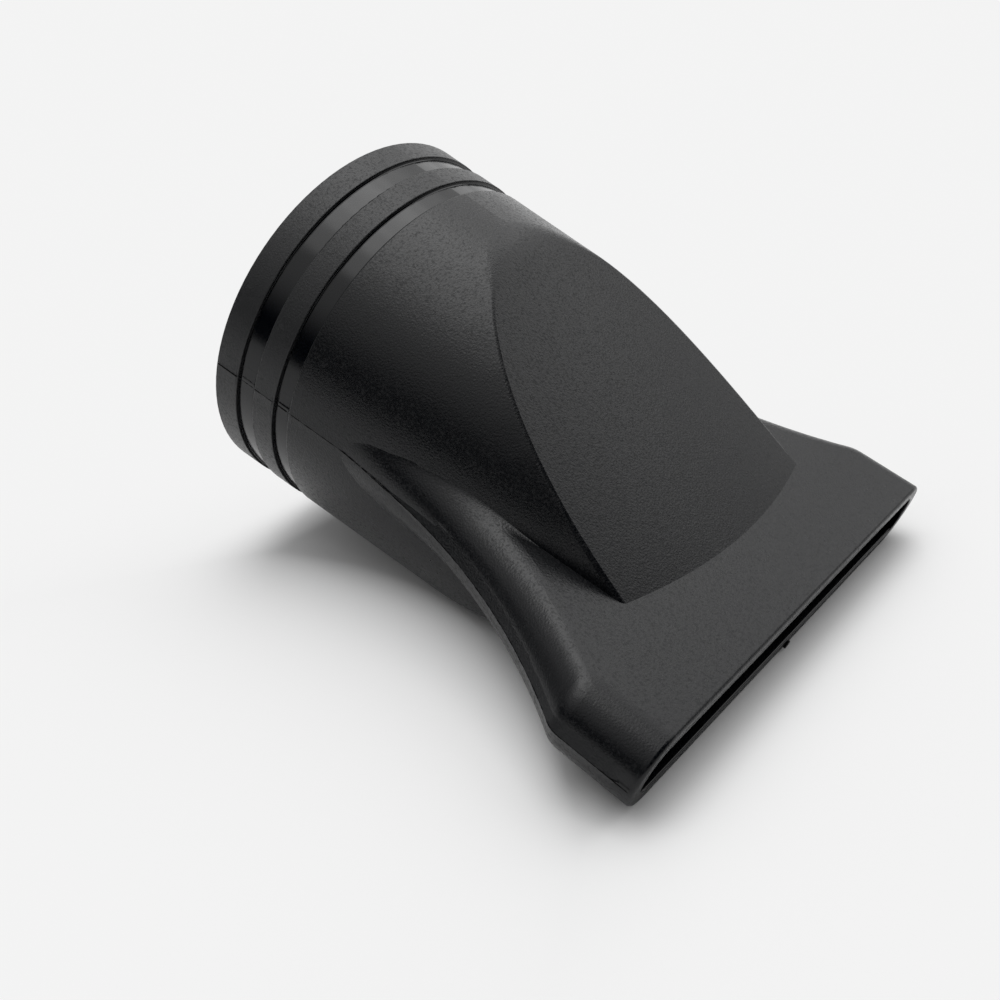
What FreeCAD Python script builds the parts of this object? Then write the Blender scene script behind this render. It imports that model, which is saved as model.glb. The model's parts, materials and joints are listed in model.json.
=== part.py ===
"""Concentrator nozzle for a hair dryer: one moulding in black plastic.

A round collar slips over the dryer's barrel. The round body narrows a little towards
the mouth, and a broad crowned face above and below closes it down to a flat blade. The
blade flares to a wide slot with full round sides. The wall is open from end to end.

The nozzle is drawn along +X, from the rim of the collar to the mouth, with its parting
plane at Z = 0. At the end it is laid on a table, on its belly and its lower lip.
"""
import FreeCAD
import Part
import math
import os
from FreeCAD import Vector

# Collar: the bore for the barrel, and a wall with two rings and a shallow groove after each.
# Edges that look to the mouth are crisp, those that look back to the rim are softer.
bore_radius = 23.0
bore_depth = 14.0
bore_lead_in = 0.5
bore_shoulder = 0.5
collar_wall = 2.3
ring_1_width = 3.75
groove_1_width = 2.75
ring_2_width = 3.55
groove_2_width = 2.4
groove_depth = 0.42
front_edge_round = 0.12
back_edge_round = 0.3

# Round body: it narrows by the draft angle, as one cone with the collar.
body_draft = 2.6
wall = 1.9

# Crowned face, above and below: where it leaves the body, its crown and its slight hollow along
# the nozzle. It comes down to the blade's flat, which is what is left of the length in front of
# it. Its edge is soft over the top and fine from a short way down.
face_start = 22.85
face_crown_radius = 235.0
face_hollow = 0.67
face_top_round = 13.0
face_edge_round = 0.6
face_soft_length = 5.0

# Blade and mouth: a flat slab with full round sides that flare from the body's flanks.
nozzle_length = 74.2
mouth_width = 75.2
blade_thickness = 9.8
blade_flat = 11.0
side_length = 9.2
corner_radius = 3.0
flare_radius = 67.0
flare_root = 24.9
flare_root_angle = 7.4
lip_outer_round = 0.5
lip_inner_round = 0.25

# Stub that the moulding gate left on the front of the lower lip.
gate_radius = 0.55
gate_proud = 0.3

# Places that follow from the sizes above.
collar_radius = bore_radius + collar_wall
ring_2_start = ring_1_width + groove_1_width
groove_2_start = ring_2_start + ring_2_width
body_start = groove_2_start + groove_2_width
blade_half = blade_thickness / 2.0
mouth_half = mouth_width / 2.0
draft = math.tan(math.radians(body_draft))
face_end = nozzle_length - blade_flat
root_angle = math.radians(flare_root_angle)
ORIGIN = Vector(0, 0, 0)
ALONG = Vector(1, 0, 0)
ACROSS = Vector(0, 1, 0)
UP = Vector(0, 0, 1)


def body_radius(x):
    """Outside radius of the cone at a distance x from the rim."""
    return collar_radius - draft * x


def groove_radius(x):
    """Radius of a groove's floor at a distance x from the rim."""
    return body_radius(x) - groove_depth


def inside_radius(x):
    """Inside radius of the cone, which starts at the shoulder in the bore."""
    return bore_radius - bore_shoulder - draft * (x - bore_depth)


# The face drops from the body to the blade's top, and the body runs on a little in the blade.
face_top = Vector(face_start, 0, body_radius(face_start))
face_foot = Vector(face_end, 0, blade_half)
down_face = (face_foot - face_top).normalize()
out_of_face = Vector(-down_face.z, 0, down_face.x)
half_face = (face_foot - face_top).Length / 2.0
body_end = face_end + blade_half / 2.0


def corner_round(before, corner, after, radius):
    """Start, middle, end and centre of the arc that rounds a corner between two points."""
    back = (before - corner).normalize()
    ahead = (after - corner).normalize()
    inward = (back + ahead).normalize()
    half_angle = back.getAngle(ahead) / 2.0
    reach = radius / math.tan(half_angle)
    centre = corner + inward * (radius / math.sin(half_angle))
    return corner + back * reach, centre - inward * radius, corner + ahead * reach, centre


def rounded_wire(corners):
    """Closed wire in the XZ plane through (x, z, radius) corners, rounded where radius > 0."""
    points = [Vector(x, 0, z) for x, z, _ in corners]
    count = len(corners)
    arcs = [corner_round(points[i - 1], points[i], points[(i + 1) % count], corners[i][2])
            for i in range(count)]
    edges = []
    for i, (start, middle, end, _) in enumerate(arcs):
        if corners[i][2] > 0:
            edges.append(Part.Arc(start, middle, end).toShape())
        edges.append(Part.LineSegment(end, arcs[(i + 1) % count][0]).toShape())
    return Part.Wire(edges)


def half_revolved(corners):
    """Half of a solid of revolution about X, on one side of the plane Y = 0."""
    return Part.Face(rounded_wire(corners)).revolve(ORIGIN, ALONG, 180)


def both_halves(half):
    """A half on one side of the plane Y = 0, joined to its mirror image."""
    return half.fuse(half.mirror(ORIGIN, ACROSS)).removeSplitter()


def half_collar_and_cone():
    """Outside of the collar's rings and grooves, and of the round body."""
    return half_revolved([
        (0, 0, 0),
        (0, collar_radius, front_edge_round),
        (ring_1_width, body_radius(ring_1_width), front_edge_round),
        (ring_1_width, groove_radius(ring_1_width), 0),
        (ring_2_start, groove_radius(ring_2_start), 0),
        (ring_2_start, body_radius(ring_2_start), back_edge_round),
        (groove_2_start, body_radius(groove_2_start), front_edge_round),
        (groove_2_start, groove_radius(groove_2_start), 0),
        (body_start, groove_radius(body_start), 0),
        (body_start, body_radius(body_start), back_edge_round),
        (body_end, body_radius(body_end), 0),
        (body_end, 0, 0),
    ])


def half_bore_and_cone():
    """Inside of the round body, with the bore that takes the barrel up to its shoulder."""
    return half_revolved([
        (0, 0, 0),
        (0, bore_radius + bore_lead_in, 0),
        (bore_lead_in, bore_radius, 0),
        (bore_depth, bore_radius, 0),
        (bore_depth, inside_radius(bore_depth), 0),
        (body_end, inside_radius(body_end), 0),
        (body_end, 0, 0),
    ])


def under_crown(inset):
    """Block under the upper crowned face: crowned across, hollow along, moved in by the inset."""
    reach = half_face + collar_radius
    hollow = face_hollow * (reach / half_face) ** 2
    crown = reach ** 2 / (2.0 * face_crown_radius)
    middle = (face_top + face_foot) / 2.0 - out_of_face * (face_hollow + inset)
    patch = Part.BezierSurface()
    patch.increase(2, 2)
    for row, along in enumerate((-1, 0, 1), 1):
        for column, across in enumerate((-1, 0, 1), 1):
            height = (hollow if along else -hollow) - (crown if across else -crown)
            patch.setPole(row, column, middle + down_face * along * reach
                          + ACROSS * across * reach + out_of_face * height)
    return patch.toShape().extrude(out_of_face * -2.0 * reach)


def under_faces(half_body, inset):
    """The part of a round body that lies under both crowned faces, moved in by the inset."""
    crown = under_crown(inset)
    return half_body.common(crown).common(crown.mirror(ORIGIN, UP))


def round_face_edges(half_body):
    """Round the edge from cone to face: soft over the top, then fine down to the corners."""
    soft_end = face_start + face_soft_length
    side = 2.0 * nozzle_length
    front = Part.makeBox(side, side, side, Vector(soft_end, -side / 2.0, -side / 2.0))
    parted = half_body.cut(front).fuse(half_body.common(front)).Solids[0]
    crown_edges = [e for f in parted.Faces
                   if isinstance(f.Surface, (Part.BezierSurface, Part.BSplineSurface)) for e in f.Edges]
    cone_edges = [e for f in parted.Faces if isinstance(f.Surface, Part.Cone) for e in f.Edges]
    rounds = []
    for number, edge in enumerate(parted.Edges, 1):
        if any(edge.isSame(e) for e in crown_edges) and any(edge.isSame(e) for e in cone_edges):
            ends = [edge.valueAt(at) for at in (edge.FirstParameter, edge.LastParameter)]
            over_top = [abs(end.y) < 0.001 for end in ends]
            rounds.append((number, *(face_top_round if top else face_edge_round for top in over_top)))
    document = FreeCAD.newDocument("half_body")
    base = document.addObject("Part::Feature", "parted")
    base.Shape = parted
    fillet = document.addObject("Part::Fillet", "face_edges")
    fillet.Base = base
    fillet.Edges = rounds
    document.recompute()
    return fillet.Shape


def blade_side_path():
    """Path of the middle of the blade's round side, in plan, from inside the body to the mouth.

    The side leaves the body's flank at a small angle, swings out along the flare, turns the
    corner and runs straight to the mouth. The blade's outline is this path moved out by half
    the blade's thickness.
    """
    ahead = Vector(math.cos(root_angle), math.sin(root_angle), 0)
    outward = Vector(-math.sin(root_angle), math.cos(root_angle), 0)
    root = Vector(flare_root, body_radius(flare_root), 0)
    corner = Vector(nozzle_length - side_length, mouth_half - corner_radius, 0)
    # The flare touches the root line on one side and the round of the corner on the other.
    above_root = root + outward * flare_radius
    apart = corner - above_root
    run = apart.dot(ahead)
    between = flare_radius + corner_radius
    centre = above_root + ahead * (run - math.sqrt(run ** 2 - apart.Length ** 2 + between ** 2))
    flare_start = centre - outward * flare_radius
    flare_end = centre + (corner - centre).normalize() * flare_radius
    flare_middle = centre + (flare_start + flare_end - centre * 2).normalize() * flare_radius
    turn_end = corner + ACROSS * corner_radius
    turn_middle = corner + (flare_end + turn_end - corner * 2).normalize() * corner_radius
    path = Part.Wire([
        Part.LineSegment(root - ahead * blade_half, flare_start).toShape(),
        Part.Arc(flare_start, flare_middle, flare_end).toShape(),
        Part.Arc(flare_end, turn_middle, turn_end).toShape(),
        Part.LineSegment(turn_end, Vector(nozzle_length, mouth_half, 0)).toShape(),
    ])
    path.translate(ACROSS * -blade_half)
    return path


def blade(half_thickness):
    """Slab with full round sides: one side swept along its path, joined to its mirror image."""
    path = blade_side_path()
    start = path.OrderedVertexes[0].Point
    inner = start - ACROSS * (mouth_half - blade_half + wall)
    rise = UP * half_thickness
    profile = Part.Wire([
        Part.LineSegment(inner - rise, inner + rise).toShape(),
        Part.LineSegment(inner + rise, start + rise).toShape(),
        Part.Arc(start + rise, start + ACROSS * half_thickness, start - rise).toShape(),
        Part.LineSegment(start - rise, inner - rise).toShape(),
    ])
    sweep = Part.BRepOffsetAPI.MakePipeShell(path)
    sweep.setTrihedronMode(start, ALONG)
    sweep.add(profile)
    sweep.build()
    sweep.makeSolid()
    return both_halves(sweep.shape())


def open_shell():
    """The moulded wall: the outside less the inside, open at the collar and at the mouth."""
    outer_body = both_halves(round_face_edges(under_faces(half_collar_and_cone(), 0)))
    inner_body = both_halves(under_faces(half_bore_and_cone(), wall))
    outside = outer_body.fuse(blade(blade_half))
    inside = inner_body.fuse(blade(blade_half - wall))
    return outside.cut(inside).removeSplitter()


def mouth_rim(solid):
    """The flat ring of wall at the front of the blade."""
    return next(f for f in solid.Faces if isinstance(f.Surface, Part.Plane)
                and abs(f.CenterOfMass.x - nozzle_length) < 1e-6)


def round_lips(shell):
    """Round the outer and the inner edge of the mouth's rim."""
    solid = shell.Solids[0].makeFillet(lip_outer_round, mouth_rim(shell).OuterWire.Edges)
    rim = mouth_rim(solid)
    inner = [e for w in rim.Wires if not w.isSame(rim.OuterWire) for e in w.Edges]
    return solid.makeFillet(lip_inner_round, inner)


def gate_stub():
    """Short round stub in the middle of the lower lip's front."""
    foot = Vector(nozzle_length - wall / 2.0, 0, wall / 2.0 - blade_half)
    return Part.makeCylinder(gate_radius, wall / 2.0 + gate_proud, foot, ALONG)


def rest_tilt():
    """Angle by which the mouth drops when the nozzle lies on its belly and its lower lip."""
    belly = Vector(face_start, 0, -body_radius(face_start))
    on_cone = Vector(body_start, 0, -body_radius(body_start))
    slope = math.atan2(-down_face.z, down_face.x) + math.atan(2.0 * face_hollow / half_face)
    on_face = belly + Vector(math.cos(slope), 0, math.sin(slope))
    belly_centre = corner_round(on_cone, belly, on_face, face_top_round)[3]
    lip_centre = Vector(nozzle_length - lip_outer_round, 0, lip_outer_round - blade_half)
    step = lip_centre - belly_centre
    return math.atan2(step.z, step.x) + math.asin((face_top_round - lip_outer_round) / step.Length)


def laid_on_table(nozzle):
    """Turn the mouth down to the table and set the origin under the middle, on the table."""
    laid = nozzle.copy()
    laid.rotate(ORIGIN, ACROSS, math.degrees(rest_tilt()))
    box = laid.optimalBoundingBox(False)
    laid.translate(Vector(-box.Center.x, -box.Center.y, -box.ZMin))
    return laid


nozzle = laid_on_table(round_lips(open_shell()).fuse(gate_stub()).removeSplitter())

os.makedirs("parts", exist_ok=True)
nozzle.exportStep("parts/nozzle_body.step")
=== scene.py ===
import json
import math
import bpy
import bmesh
from mathutils import Matrix, Vector


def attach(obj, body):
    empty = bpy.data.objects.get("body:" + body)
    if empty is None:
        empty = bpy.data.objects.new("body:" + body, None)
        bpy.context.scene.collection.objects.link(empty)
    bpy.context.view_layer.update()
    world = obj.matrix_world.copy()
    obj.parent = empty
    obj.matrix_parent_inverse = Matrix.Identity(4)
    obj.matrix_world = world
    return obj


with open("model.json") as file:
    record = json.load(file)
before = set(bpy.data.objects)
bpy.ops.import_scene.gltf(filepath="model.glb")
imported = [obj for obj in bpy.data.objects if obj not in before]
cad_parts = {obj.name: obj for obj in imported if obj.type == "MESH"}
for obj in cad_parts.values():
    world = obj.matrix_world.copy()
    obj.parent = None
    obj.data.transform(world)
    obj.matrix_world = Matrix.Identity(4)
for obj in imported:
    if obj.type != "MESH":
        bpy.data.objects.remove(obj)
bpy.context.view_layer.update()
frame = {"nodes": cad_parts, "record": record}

# Nozzle: one moulding in black plastic, pressed in a mould whose spark-eroded walls leave a
# fine grain outside, while the collar's grooves and the whole inside come off polished steel.
# Its own frame, in millimetres, runs along X from rim to mouth, with Z = 0 on the parting plane.
MM = 0.001
bore_middle = 7.0
collar_radius = 25.3
draft = math.tan(math.radians(2.6))
groove_depth = 0.42
grooves = ((3.75, 6.5), (10.05, 12.45))
groove_edge_blur = 0.03
inside_from, inside_full = -1.0, -2.0
ring_fade_inset = 0.5
black = (0.0003, 0.0007, 0.0017)
worn_grey = 0.0006
painted_pit_shade = 0.0004
ring_painted_light = 0.014
grain_depth = 0.029
wrinkles_per_mm, wrinkle_share = 4.4, 0.75
pits_per_mm, pit_share, pit_softness = 4.0, 0.5, 0.5
polished_grain = 0.05
corner_along, corner_across, corner_grain = (54.0, 62.0), (27.0, 32.0), 0.5
swells_per_mm, swell_outside, swell_in_groove = 0.16, 0.25, 0.6
worn_per_mm = 0.5
patches_per_mm, patch_roughness = 0.8, 0.1
specks_per_mm, speck_levels, speck_roughness = 3.0, (0.45, 0.75), (-0.02, 0.16)
grained_roughness = 0.31
polished_roughness = 0.17
ring_dulling = 0.09
plastic_specular = 0.32

bore = frame["record"]["mounts"][0]
bore_axis = Vector(bore["axis"])
nozzle_tilt = math.atan2(bore_axis.z, -bore_axis.x)
rim_centre = Vector(bore["pos_m"]) + bore_axis * bore_middle * MM
nozzle_place = Matrix.Translation(rim_centre) @ Matrix.Rotation(nozzle_tilt, 4, "Y")


class Wiring:
    """Places and joins the nodes of one tree."""

    def __init__(self, tree):
        self.tree = tree

    def node(self, kind, **settings):
        made = self.tree.nodes.new(kind)
        for name, value in settings.items():
            setattr(made, name, value)
        return made

    def feed(self, socket, value):
        """Link a socket to another one, or set its value."""
        if isinstance(value, bpy.types.NodeSocket):
            self.tree.links.new(value, socket)
        else:
            socket.default_value = value

    def math(self, operation, *values):
        made = self.node("ShaderNodeMath", operation=operation)
        for socket, value in zip(made.inputs, values):
            self.feed(socket, value)
        return made.outputs[0]

    def total(self, *values):
        result = values[0]
        for value in values[1:]:
            result = self.math("ADD", result, value)
        return result

    def product(self, one, other):
        return self.math("MULTIPLY", one, other)

    def ramp(self, value, low, high, to_low=0.0, to_high=1.0):
        """Soft step from one result to another while a value goes from low to high."""
        made = self.node("ShaderNodeMapRange", interpolation_type="SMOOTHSTEP")
        for socket, given in zip(made.inputs, (value, low, high, to_low, to_high)):
            self.feed(socket, given)
        return made.outputs[0]

    def blend(self, share, at_none, at_full):
        return self.ramp(share, 0.0, 1.0, at_none, at_full)

    def parts(self, vector):
        made = self.node("ShaderNodeSeparateXYZ")
        self.feed(made.inputs[0], vector)
        return made.outputs

    def noise(self, place, scale, detail=2.0, roughness=0.5):
        made = self.node("ShaderNodeTexNoise")
        self.feed(made.inputs["Vector"], place)
        made.inputs["Scale"].default_value = scale
        made.inputs["Detail"].default_value = detail
        made.inputs["Roughness"].default_value = roughness
        return made.outputs["Fac"]


def black_plastic():
    """The nozzle's plastic: grained outside, duller and with painted light on the rings, polished
    in grooves and bore.
    """
    material = bpy.data.materials.new("black_plastic")
    material.use_nodes = True
    wiring = Wiring(material.node_tree)
    shader = material.node_tree.nodes["Principled BSDF"]

    # Place and surface direction in the nozzle's own frame, in millimetres.
    to_nozzle = nozzle_place.inverted()
    coordinates = wiring.node("ShaderNodeTexCoord")
    mapped = {}
    for output, kind in (("Object", "POINT"), ("Normal", "VECTOR")):
        mapping = wiring.node("ShaderNodeMapping", vector_type=kind)
        wiring.feed(mapping.inputs["Vector"], coordinates.outputs[output])
        mapping.inputs["Rotation"].default_value = to_nozzle.to_euler()
        mapped[output] = mapping
    mapped["Object"].inputs["Location"].default_value = to_nozzle.translation / MM
    mapped["Object"].inputs["Scale"].default_value = (1 / MM, 1 / MM, 1 / MM)
    place = mapped["Object"].outputs["Vector"]
    x, y, z = wiring.parts(place)
    facing = wiring.parts(mapped["Normal"].outputs["Vector"])

    # Polished: the inside walls, which look towards the axis, and the groove floors.
    outward = wiring.total(wiring.product(y, facing[1]), wiring.product(z, facing[2]))
    inside = wiring.ramp(outward, inside_from, inside_full)
    groove = 0.0
    for start, end in grooves:
        band = wiring.product(wiring.ramp(x, start - groove_edge_blur, start + groove_edge_blur),
                              wiring.ramp(x, end + groove_edge_blur, end - groove_edge_blur))
        groove = wiring.math("MAXIMUM", groove, band)
    polished = wiring.math("MAXIMUM", groove, inside)
    grained = wiring.blend(polished, 1.0, 0.0)

    # Rings: the two rings are a little duller, and a greyer tone on them is painted light.
    rings_end, body_start = grooves[1]
    collar = wiring.ramp(x, rings_end + ring_fade_inset, body_start - ring_fade_inset, 1.0, 0.0)
    ring_faces = wiring.product(collar, grained)

    # Grain: rounded pits with short wrinkles between them, a quarter of a millimetre across,
    # shallower at the blade's corners. Under it the wall swells very slightly.
    wrinkles = wiring.noise(place, wrinkles_per_mm, detail=1.5, roughness=0.55)
    pits = wiring.node("ShaderNodeTexVoronoi", feature="SMOOTH_F1")
    wiring.feed(pits.inputs["Vector"], place)
    pits.inputs["Scale"].default_value = pits_per_mm
    pits.inputs["Smoothness"].default_value = pit_softness
    grain = wiring.total(wiring.product(wrinkles, wrinkle_share),
                         wiring.product(pits.outputs["Distance"], pit_share))
    corner = wiring.product(wiring.ramp(x, *corner_along),
                            wiring.ramp(wiring.math("ABSOLUTE", y), *corner_across))
    grain_left = wiring.product(wiring.blend(polished, 1.0, polished_grain),
                                wiring.blend(corner, 1.0, corner_grain))
    swell = wiring.product(wiring.noise(place, swells_per_mm),
                           wiring.blend(groove, swell_outside, swell_in_groove))
    bump = wiring.node("ShaderNodeBump")
    bump.inputs["Strength"].default_value = 1.0
    bump.inputs["Distance"].default_value = grain_depth * MM
    wiring.feed(bump.inputs["Height"], wiring.total(wiring.product(grain, grain_left), swell))
    wiring.feed(shader.inputs["Normal"], bump.outputs["Normal"])

    # Colour: deep black, a little greyer in worn patches. Lighter grain tops paint shade into the
    # grain's pits, and a greyer tone on the rings paints light on them.
    worn = wiring.product(wiring.noise(place, worn_per_mm, detail=3.0, roughness=0.6), worn_grey)
    # Painted shade: the grain's pits are left darker than its tops.
    pit_shade_tone = wiring.product(grain, painted_pit_shade)
    # Painted light: the rings' greyer tone.
    ring_light_tone = wiring.product(ring_faces, ring_painted_light)
    colour = wiring.node("ShaderNodeCombineColor")
    for socket, tone in zip(colour.inputs, black):
        wiring.feed(socket, wiring.total(worn, pit_shade_tone, ring_light_tone, tone))
    wiring.feed(shader.inputs["Base Color"], colour.outputs[0])

    # Gloss: satin on the grain, duller on the rings, and a clear sheen when polished.
    cloud = wiring.noise(place, patches_per_mm, detail=3.0, roughness=0.6)
    patches = wiring.product(wiring.math("SUBTRACT", cloud, 0.5), patch_roughness)
    specks = wiring.ramp(wiring.noise(place, specks_per_mm, detail=1.0),
                         *speck_levels, *speck_roughness)
    rough = wiring.total(wiring.blend(polished, grained_roughness, polished_roughness), patches,
                         wiring.product(ring_faces, ring_dulling), wiring.product(specks, grained))
    wiring.feed(shader.inputs["Roughness"], rough)
    shader.inputs["Specular IOR Level"].default_value = plastic_specular
    return material


plastic = black_plastic()
nozzle = frame["nodes"]["nozzle_body"]
nozzle.data.materials.clear()
nozzle.data.materials.append(plastic)

# Wing roots: the blade's sides grow out of the body, and a hollow round fills the corner between
# them. It is wide over the tip of each wing and dies out before the blade's flat. It is the same
# black plastic, moulded in one with the nozzle.
flare_root = 24.9
flare_root_angle = math.radians(7.4)
flare_radius = 67.0
flare_steps = 48
side_round = 4.9
side_start = 65.0
mouth_half = 37.6
corner_radius = 3.0
corner_turn_steps = 16
nozzle_length = 74.2
lip_round = 0.5
root_round = 1.0
root_round_start = 38.0
root_round_end = 52.0
root_round_least = 0.001
root_reach = 4.0
root_sink = 0.025
root_back = 0.5
root_steps = 80
root_out_limits = (15.0, 40.0)
root_rise_limits = (0.0, 6.6)
tip_start, tip_end = 14.0, 38.0
tip_rise, tip_rise_steps = 6.4, 96
root_corner_start = 36.0
root_corner_inset, root_corner_width, root_corner_gap = 0.3, 4.6, 0.25
root_corner_steps, root_corner_crowding = 40, 1.5
halvings = 24
moulded_sharp = 40


def wall_radius(x):
    return collar_radius - draft * x


def arc(centre, radius, start, end, steps):
    """Points on an arc about a centre, from one point on it to another, the short way round."""
    first = math.atan2(start.y - centre.y, start.x - centre.x)
    turn = math.atan2(end.y - centre.y, end.x - centre.x) - first
    turn = (turn + math.pi) % (2 * math.pi) - math.pi
    angles = [first + turn * i / steps for i in range(steps + 1)]
    return [centre + Vector((math.cos(angle), math.sin(angle))) * radius for angle in angles]


def blade_side():
    """Plan of the blade's side: root line, flare, corner, and the straight end at the mouth."""
    along = Vector((math.cos(flare_root_angle), math.sin(flare_root_angle)))
    outward = Vector((-along.y, along.x))
    root = Vector((flare_root, wall_radius(flare_root)))
    corner = Vector((side_start, mouth_half - corner_radius))
    above_root = root + outward * flare_radius
    apart = corner - above_root
    run = apart.dot(along)
    reach = math.sqrt(run ** 2 - apart.length_squared + (flare_radius + corner_radius) ** 2)
    centre = above_root + along * (run - reach)
    flare_start = centre - outward * flare_radius
    flare_end = centre + (corner - centre).normalized() * flare_radius
    turn_end = Vector((side_start, mouth_half))
    return ([root] + arc(centre, flare_radius, flare_start, flare_end, flare_steps)
            + arc(corner, corner_radius, flare_end, turn_end, corner_turn_steps)[1:]
            + [Vector((nozzle_length - lip_round, mouth_half))])


side_plan = blade_side()


def side_at(x):
    """How far out the blade's side lies at a place along the nozzle."""
    for before, after in zip(side_plan, side_plan[1:]):
        if x <= after.x:
            return before.y + (after.y - before.y) * (x - before.x) / (after.x - before.x)
    return mouth_half


def eased(share):
    """Soft step from 0 to 1."""
    share = min(max(share, 0), 1)
    return share * share * (3 - 2 * share)


def root_depth(x, out, rise):
    """Distance to the body and the blade together, made less in the corner between them."""
    run_out = (root_round_end - x) / (root_round_end - root_round_start)
    reach = root_round * eased(run_out) + root_round_least
    body = (math.hypot(out, rise) - wall_radius(x)) / root_reach
    blade = math.hypot(max(out - side_at(x) + side_round, 0), rise) - side_round
    return min(body, blade) - max(reach - abs(body - blade), 0) ** 2 / (4 * reach)


def crossing(depth_at, low, high):
    """Place between two values where a rising depth reaches zero."""
    for _ in range(halvings):
        middle = (low + high) / 2
        low, high = (middle, high) if depth_at(middle) < 0 else (low, middle)
    return low


def root_out(x, rise, sink=0.0):
    """How far out the rounded root lies at a height, or a little under it."""
    return crossing(lambda out: root_depth(x, out, rise) + sink, *root_out_limits)


def root_rise(x, out, sink=0.0):
    """How high the rounded root lies at a distance from the middle, or a little under it."""
    return crossing(lambda rise: root_depth(x, out, rise) + sink, *root_rise_limits)


def slab(fronts, backs):
    """Closed mesh between two grids of points, laid in the nozzle's place."""
    made = bmesh.new()
    grids = [[[made.verts.new(place) for place in row] for row in grid] for grid in (fronts, backs)]
    strips = [pair for grid in grids for pair in zip(grid, grid[1:])]
    for side in (0, -1):
        strips.append([grid[side] for grid in grids])
        strips.append([[row[side] for row in grid] for grid in grids])
    for near, far in strips:
        for i in range(len(near) - 1):
            made.faces.new((near[i], near[i + 1], far[i + 1], far[i]))
    bmesh.ops.recalc_face_normals(made, faces=made.faces)
    mesh = bpy.data.meshes.new("slab")
    made.to_mesh(mesh)
    made.free()
    mesh.transform(nozzle_place @ Matrix.Scale(MM, 4))
    return mesh


def spread(start, end, steps):
    """Evenly spaced values from one to another, both included."""
    return [start + (end - start) * i / steps for i in range(steps + 1)]


def wing_root(across):
    """The round over one wing's tip, and along its upper and its lower corner with the body."""
    tip = [[(x, root_out(x, rise, root_sink), rise)
            for rise in spread(-tip_rise, tip_rise, tip_rise_steps)]
           for x in spread(tip_start, tip_end, root_steps)]
    yield slab([[(x, across * out, rise) for x, out, rise in row] for row in tip],
               [[(x, across * (out - root_back), rise) for x, out, rise in row] for row in tip])
    corner = []
    for x in spread(root_corner_start, root_round_end, root_steps):
        foot = math.sqrt(wall_radius(x) ** 2 - side_round ** 2)
        inner = foot - root_corner_inset
        width = min(foot + root_corner_width, side_at(x) - root_corner_gap) - inner
        outs = [inner + width * share ** root_corner_crowding
                for share in spread(0.0, 1.0, root_corner_steps)]
        corner.append([(x, out, root_rise(x, out, root_sink)) for out in outs])
    for over in (-1, 1):
        yield slab([[(x, across * out, over * rise) for x, out, rise in row] for row in corner],
                   [[(x, across * out, over * (rise - root_back)) for x, out, rise in row]
                    for row in corner])


def moulded_piece(name, meshes, finish, sharp):
    """One object from several meshes, riding on the nozzle, with edges sharp above an angle."""
    joined = bmesh.new()
    for mesh in meshes:
        joined.from_mesh(mesh)
    mesh = bpy.data.meshes.new(name)
    joined.to_mesh(mesh)
    joined.free()
    mesh.materials.clear()
    mesh.materials.append(finish)
    mesh.polygons.foreach_set("material_index", [0] * len(mesh.polygons))
    mesh.shade_smooth()
    mesh.set_sharp_from_angle(angle=math.radians(sharp))
    piece = bpy.data.objects.new(name, mesh)
    bpy.context.scene.collection.objects.link(piece)
    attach(piece, "root")


moulded_piece("wing_roots", [*wing_root(-1), *wing_root(1)], plastic, moulded_sharp)

# Groove corners: over the top and the belly, the foot of each ring's front wall runs into the
# groove's floor in a small round, which dies out towards the parting plane. It is the same black
# plastic, moulded in one with the nozzle.
groove_round = 0.28
groove_round_least = 0.01
groove_round_start = 0.35
groove_round_full = 0.8
groove_corner_sink = 0.05
groove_corner_turns = 288
groove_corner_steps = 8
groove_corner_back_step = 0.02


def groove_corner(start, middle):
    """The round of one groove on one side of the parting plane, about an angle from +Y."""
    floor = wall_radius(start) - groove_depth
    reach = math.acos(groove_round_start)
    fronts, backs = [], []
    for turn in spread(-reach, reach, groove_corner_turns):
        across, up = math.cos(middle + turn), math.sin(middle + turn)
        grown = (math.cos(turn) - groove_round_start) / (groove_round_full - groove_round_start)
        size = groove_round * eased(grown) + groove_round_least
        hollow = [(start + size * (1 + math.cos(bend)), floor + size * (1 + math.sin(bend)))
                  for bend in spread(math.pi, 1.5 * math.pi, groove_corner_steps)]
        fronts.append([(x, out * across, out * up) for x, out in hollow])
        under = [floor - groove_corner_sink + groove_corner_back_step * i
                 for i in range(groove_corner_steps, -1, -1)]
        backs.append([(start - groove_corner_sink, out * across, out * up) for out in under])
    return slab(fronts, backs)


moulded_piece("groove_corners", [groove_corner(start, side * math.pi / 2)
                                 for start, end in grooves for side in (-1, 1)],
              plastic, moulded_sharp)

# Parting line: the mould's two halves met on the plane Z = 0. Each half's draft leans its wall
# back from that plane, so the walls meet in a low ridge along both flanks and both blade sides,
# and the join left a hair of flash, broken here and there, along the ridge's crest.
# The flash's dull, dark finish is painted shade: it darkens the line along the crest.
flank_lean = math.radians(4)
side_lean = math.radians(18)
ridge_overlap = 1.05
ridge_depth = 0.2
flash_width, flash_rise, flash_least = 0.17, 0.05, 0.35
thick_flash_width, thick_flash_rise, thick_flash_least = 0.26, 0.1, 0.8
flash_depth = 0.1
flash_end = 0.002
flash_black = (0.001, 0.001, 0.0012, 1)
flash_specks_per_m, flash_roughness, flash_shade_specular = 900.0, (0.55, 0.8), 0.12
flank_end_share, side_end_share = 0.001, 0.05
rim_gap, step_gap = 0.1, 0.02
body_run_steps = 40
bead_step = 0.3
bead_waves_per_mm, bead_wave_levels = 1.1, (0.4, 0.6)
bead_sharp = 7


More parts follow.
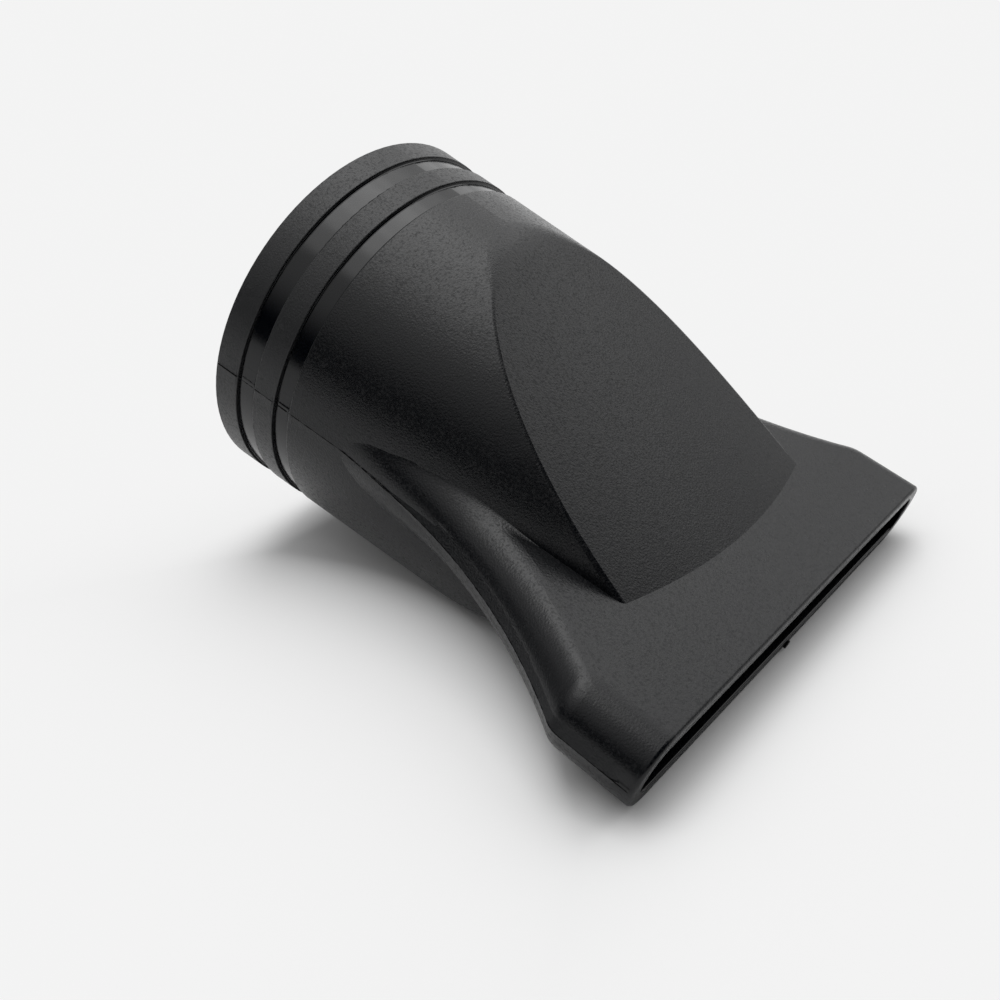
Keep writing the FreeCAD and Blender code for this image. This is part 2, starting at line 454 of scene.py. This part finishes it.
def flank_runs():
    """Straight runs over ring, groove, ring, groove and round body."""
    edges = (rim_gap, *grooves[0], *grooves[1], flare_root)
    runs = []
    for i, (start, end) in enumerate(zip(edges, edges[1:])):
        drop = groove_depth * (i % 2)
        runs.append([Vector((x, wall_radius(x) - drop))
                     for x in (start + step_gap, end - step_gap)])
    runs[-1] = [Vector((x, wall_radius(x)))
                for x in spread(runs[-1][0].x, flare_root, body_run_steps)]
    return runs


def over_root(path, crest):
    """A plan path brought out so that what is lifted off it by a crest lies on the wing's root."""
    return [Vector((point.x, max(point.y, root_out(point.x, 0) - crest))) for point in path]


def bead_tree():
    """Sweeps a kite-shaped bead along plan paths. It may wander in size, and its ends die out."""
    tree = bpy.data.node_groups.new("bead_along_path", "GeometryNodeTree")
    sockets = tree.interface
    sockets.new_socket("Geometry", in_out="INPUT", socket_type="NodeSocketGeometry")
    for name in ("Lift", "Width", "Rise", "Depth", "Least", "End"):
        sockets.new_socket(name, in_out="INPUT", socket_type="NodeSocketFloat")
    sockets.new_socket("Finish", in_out="INPUT", socket_type="NodeSocketMaterial")
    sockets.new_socket("Geometry", in_out="OUTPUT", socket_type="NodeSocketGeometry")
    wiring = Wiring(tree)
    given = wiring.node("NodeGroupInput").outputs

    # Path: evenly stepped, and lifted off the plan line.
    points = wiring.node("GeometryNodeResampleCurve", mode="LENGTH")
    wiring.feed(points.inputs["Curve"], given["Geometry"])
    points.inputs["Length"].default_value = bead_step
    level = wiring.node("GeometryNodeSetCurveNormal", mode="Z_UP")
    wiring.feed(level.inputs["Curve"], points.outputs["Curve"])
    out = wiring.node("ShaderNodeVectorMath", operation="SCALE")
    wiring.feed(out.inputs[0], wiring.node("GeometryNodeInputNormal").outputs["Normal"])
    wiring.feed(out.inputs["Scale"], given["Lift"])
    path = wiring.node("GeometryNodeSetPosition")
    wiring.feed(path.inputs["Geometry"], level.outputs["Curve"])
    wiring.feed(path.inputs["Offset"], out.outputs["Vector"])

    # Size along the path: it wanders between its least share and the whole.
    place = wiring.node("GeometryNodeInputPosition").outputs["Position"]
    wander = wiring.ramp(wiring.noise(place, bead_waves_per_mm, roughness=0.6),
                         *bead_wave_levels, given["Least"], 1.0)
    along = wiring.node("GeometryNodeSplineParameter").outputs["Factor"]
    ends = wiring.product(wiring.ramp(along, 0.0, given["End"]),
                          wiring.ramp(wiring.math("SUBTRACT", 1.0, along), 0.0, given["End"]))

    # Profile: a kite with its crest turned outwards.
    kite = wiring.node("GeometryNodeCurvePrimitiveQuadrilateral", mode="KITE")
    wiring.feed(kite.inputs["Width"], given["Width"])
    wiring.feed(kite.inputs["Top Height"], given["Rise"])
    wiring.feed(kite.inputs["Bottom Height"], given["Depth"])
    crest_out = wiring.node("GeometryNodeTransform")
    wiring.feed(crest_out.inputs["Geometry"], kite.outputs["Curve"])
    crest_out.inputs["Rotation"].default_value = (0, 0, -math.pi / 2)

    bead = wiring.node("GeometryNodeCurveToMesh")
    wiring.feed(bead.inputs["Curve"], path.outputs["Geometry"])
    wiring.feed(bead.inputs["Profile Curve"], crest_out.outputs["Geometry"])
    wiring.feed(bead.inputs["Scale"], wiring.product(wander, ends))
    bead.inputs["Fill Caps"].default_value = True
    whole = wiring.node("GeometryNodeRealizeInstances")
    wiring.feed(whole.inputs["Geometry"], bead.outputs["Mesh"])
    finish = wiring.node("GeometryNodeSetMaterial")
    wiring.feed(finish.inputs["Geometry"], whole.outputs["Geometry"])
    wiring.feed(finish.inputs["Material"], given["Finish"])
    wiring.feed(wiring.node("NodeGroupOutput").inputs["Geometry"], finish.outputs["Geometry"])
    return tree


bead_along_path = bead_tree()


def swept(paths, **sizes):
    """Mesh of a bead along plan paths on both sides of the nozzle, laid in its place."""
    line = bpy.data.curves.new("path", "CURVE")
    line.dimensions = "3D"
    for path in paths:
        near = [(point.x, -point.y, 0, 1) for point in path]
        far = [(point.x, point.y, 0, 1) for point in reversed(path)]
        for run in (near, far):
            spline = line.splines.new("POLY")
            spline.points.add(len(run) - 1)
            for point, place in zip(spline.points, run):
                point.co = place
    carrier = bpy.data.objects.new("path", line)
    bpy.context.scene.collection.objects.link(carrier)
    nodes = carrier.modifiers.new("bead", "NODES")
    nodes.node_group = bead_along_path
    for socket in bead_along_path.interface.items_tree:
        if socket.in_out == "INPUT" and socket.name in sizes:
            nodes[socket.identifier] = sizes[socket.name]
    evaluated = carrier.evaluated_get(bpy.context.evaluated_depsgraph_get())
    solid = bpy.data.meshes.new_from_object(evaluated)
    bpy.data.objects.remove(carrier)
    solid.transform(nozzle_place @ Matrix.Scale(MM, 4))
    return solid


def ridge_sizes(radius, lean):
    """Sizes of a ridge whose two flats touch a round wall at an angle to each side of its crest."""
    crest = radius * (1 / math.cos(lean) - 1)
    half = ridge_overlap * radius * math.sin(lean)
    foot = crest - half * math.tan(lean)
    return crest, {"Lift": foot, "Width": 2 * half, "Rise": crest - foot, "Depth": ridge_depth,
                   "Least": 1.0}


def flash_with_painted_shade():
    """The torn, dull black of the flash, whose dull, weak reflection is painted shade along the
    crest.
    """
    material = bpy.data.materials.new("flash_with_painted_shade")
    material.use_nodes = True
    wiring = Wiring(material.node_tree)
    shader = material.node_tree.nodes["Principled BSDF"]
    place = wiring.node("ShaderNodeTexCoord").outputs["Object"]
    wiring.feed(shader.inputs["Roughness"],
                wiring.ramp(wiring.noise(place, flash_specks_per_m), 0.3, 0.7, *flash_roughness))
    shader.inputs["Base Color"].default_value = flash_black
    shader.inputs["Specular IOR Level"].default_value = flash_shade_specular
    return material


flank_crest, flank_ridge = ridge_sizes(collar_radius, flank_lean)
side_crest, side_ridge = ridge_sizes(side_round, side_lean)
moulded_piece("parting_ridge", (swept(flank_runs(), End=flank_end_share, **flank_ridge),
                                swept([side_plan], End=side_end_share, **side_ridge)),
              plastic, bead_sharp)
flash = {"Width": flash_width, "Rise": flash_rise, "Least": flash_least,
         "Depth": flash_depth, "End": flash_end}
thick_flash = {**flash, "Width": thick_flash_width, "Rise": thick_flash_rise,
               "Least": thick_flash_least}
ring_1, groove_1, ring_2, groove_2, body = (over_root(run, flank_crest) for run in flank_runs())
# Painted shade: the flash line's dull finish darkens the parting line.
moulded_piece("flash_line", (swept([groove_1, ring_2, body], Lift=flank_crest, **flash),
                             swept([ring_1, groove_2], Lift=flank_crest, **thick_flash),
                             swept([over_root(side_plan, side_crest)], Lift=side_crest, **flash)),
              flash_with_painted_shade(), bead_sharp)

# Table: a sheet of white paper that runs out of sight. It keeps the nozzle's shadow close to the
# nozzle; a short way off the camera sees painted pale light over the paper, which fades the shadow,
# and far out it goes over into the plain pale background.
# Its sizes are in metres.
table_radius = 4.0
paper_tone = 0.84
paper_roughness = 0.9
pale_tone = 0.9
shadow_half_width, shadow_widening, shadow_curve = 0.016, 0.3, 12.0
shadow_back, shadow_front = -0.032, 0.035
shadow_fade = 50.0
paper_end, pale_start = 0.3, 1.6
bpy.ops.mesh.primitive_circle_add(vertices=96, radius=table_radius, fill_type="NGON")
table = bpy.context.object
table.name = "table"
paper = bpy.data.materials.new("white_paper")
paper.use_nodes = True
wiring = Wiring(paper.node_tree)
matt = paper.node_tree.nodes["Principled BSDF"]
matt.inputs["Base Color"].default_value = (paper_tone, paper_tone, paper_tone, 1)
matt.inputs["Roughness"].default_value = paper_roughness
matt.inputs["Specular IOR Level"].default_value = 0.0
pale = wiring.node("ShaderNodeEmission")
pale.inputs["Color"].default_value = (pale_tone, pale_tone, pale_tone, 1)
spot = wiring.node("ShaderNodeTexCoord")
x, y, z = wiring.parts(spot.outputs["Object"])
# Painted light: outside a band round the nozzle, camera rays see pale light over the paper.
half_width = wiring.total(shadow_half_width, wiring.product(x, shadow_widening),
                          wiring.product(wiring.product(x, x), shadow_curve))
beside = wiring.math("SUBTRACT", wiring.math("ABSOLUTE", y), half_width)
beyond = wiring.math("MAXIMUM", wiring.math("SUBTRACT", shadow_back, x),
                     wiring.math("SUBTRACT", x, shadow_front))
clear = wiring.math("MAXIMUM", wiring.math("MAXIMUM", beside, beyond), 0.0)
shaded = wiring.math("EXPONENT", wiring.product(clear, -shadow_fade))
painted_light_share = wiring.math("SUBTRACT", 1.0, shaded)
away = wiring.node("ShaderNodeVectorMath", operation="LENGTH")
wiring.feed(away.inputs[0], spot.outputs["Object"])
far_off = wiring.ramp(away.outputs["Value"], paper_end, pale_start)
seen = wiring.node("ShaderNodeLightPath")
both = wiring.node("ShaderNodeMixShader")
wiring.feed(both.inputs[0], wiring.product(wiring.math("MAXIMUM", far_off, painted_light_share),
                                           seen.outputs["Is Camera Ray"]))
wiring.feed(both.inputs[1], matt.outputs[0])
wiring.feed(both.inputs[2], pale.outputs[0])
wiring.feed(paper.node_tree.nodes["Material Output"].inputs["Surface"], both.outputs[0])
table.data.materials.append(paper)

# Room: soft light from white ceiling panels, a bounce on either side and a pale wall behind, all
# far out. It is dark behind the camera, and pale where the camera looks past the table.
# A panel is its turn to the right of straight ahead, its rise, the half angles of its soft edge
# and of its even core, all in degrees, and its strength.
camera_turn = math.radians(37.2051)
panels = (
    (0, 89, 22, 19, 1.74),
    (0, 76, 16, 13, 1.41),
    (0, 66, 27, 0, 1.42),
    (250, 70, 18, 14, 1.40),
    (240, 55, 41, 0, 0.95),
    (300, 30, 41, 0, 0.40),
    (13, 45, 23, 18, 1.03),
    (60, 45, 23, 18, 1.61),
    (0, 6, 41, 0, 0.97),
    (36, 6, 41, 0, 0.45),
    (72, 6, 41, 0, 0.39),
)
right = Vector((math.cos(camera_turn), math.sin(camera_turn), 0))
ahead = Vector((-right.y, right.x, 0))
up = Vector((0, 0, 1))


def towards(turn, rise):
    """Direction at an angle to the right of straight ahead, and an angle up, in degrees."""
    turn, rise = math.radians(turn), math.radians(rise)
    return (ahead * math.cos(turn) + right * math.sin(turn)) * math.cos(rise) + up * math.sin(rise)


room = bpy.data.worlds.new("room")
room.use_nodes = True
scene = bpy.context.scene
scene.world = room
wiring = Wiring(room.node_tree)
sky = wiring.node("ShaderNodeTexCoord")
glow = 0.0
for turn, rise, edge, core, strength in panels:
    facing = wiring.node("ShaderNodeVectorMath", operation="DOT_PRODUCT")
    wiring.feed(facing.inputs[0], sky.outputs["Generated"])
    facing.inputs[1].default_value = towards(turn, rise)
    panel = wiring.ramp(facing.outputs["Value"], math.cos(math.radians(edge)),
                        math.cos(math.radians(core)), 0.0, strength)
    glow = wiring.math("ADD", glow, panel)
light = room.node_tree.nodes["Background"]
light.inputs["Color"].default_value = (1, 1, 1, 1)
wiring.feed(light.inputs["Strength"], glow)
plain = wiring.node("ShaderNodeBackground")
plain.inputs["Color"].default_value = (pale_tone, pale_tone, pale_tone, 1)
seen = wiring.node("ShaderNodeLightPath")
both = wiring.node("ShaderNodeMixShader")
wiring.feed(both.inputs[0], seen.outputs["Is Camera Ray"])
wiring.feed(both.inputs[1], light.outputs[0])
wiring.feed(both.inputs[2], plain.outputs[0])
wiring.feed(room.node_tree.nodes["World Output"].inputs["Surface"], both.outputs[0])

# Camera: a short lens close to the nozzle, in front of it, to one side and above.
# Its place, angles and lens were fitted to the photograph's view and perspective.
camera_place = (0.080253, -0.111378, 0.078007)
camera_tilt = math.radians(63.5156)
camera_roll = math.radians(1.1478)
lens_length = 40.8725
sensor_width = 36.0
nearest_view = 0.01
lens = bpy.data.cameras.new("camera")
lens.sensor_width = sensor_width
lens.lens = lens_length
lens.clip_start = nearest_view
camera = bpy.data.objects.new("camera", lens)
camera.location = camera_place
camera.rotation_euler = (camera_tilt, camera_roll, camera_turn)
scene.collection.objects.link(camera)
scene.camera = camera
scene.view_settings.view_transform = "Standard"
